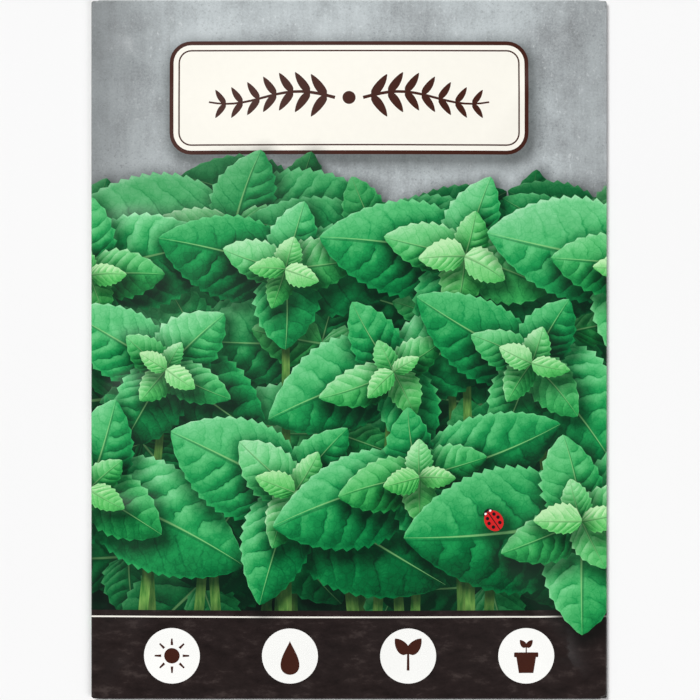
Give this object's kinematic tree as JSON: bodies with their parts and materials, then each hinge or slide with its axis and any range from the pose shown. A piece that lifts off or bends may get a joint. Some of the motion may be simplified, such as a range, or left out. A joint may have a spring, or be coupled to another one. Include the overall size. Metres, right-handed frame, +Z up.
{
  "type": "seed packet",
  "caption": "Flat closed paper seed packet, folded and glued, with a slightly full printed front, back flaps and a sealed seed sachet inside.",
  "frame": {"origin": "under the middle of the packet, on the surface that it lies on", "axes": "+Z up out of the printed front, +Y towards the packet's top edge, +X to the right as the front is read"},
  "size_m": [0.118, 0.16, 0.006],
  "materials": {
    "printed_paper": "satin coated paper, printed in greens, grey and white",
    "sachet_paper": "foil-lined white paper with ribbed heat seals",
    "seed_coat": "dull dry seed coat"
  },
  "bodies": {
    "root": {"envelope": "printed_paper", "sachet_front": "sachet_paper", "sachet_back": "sachet_paper", "seeds": "seed_coat"}
  },
  "joints": []
}
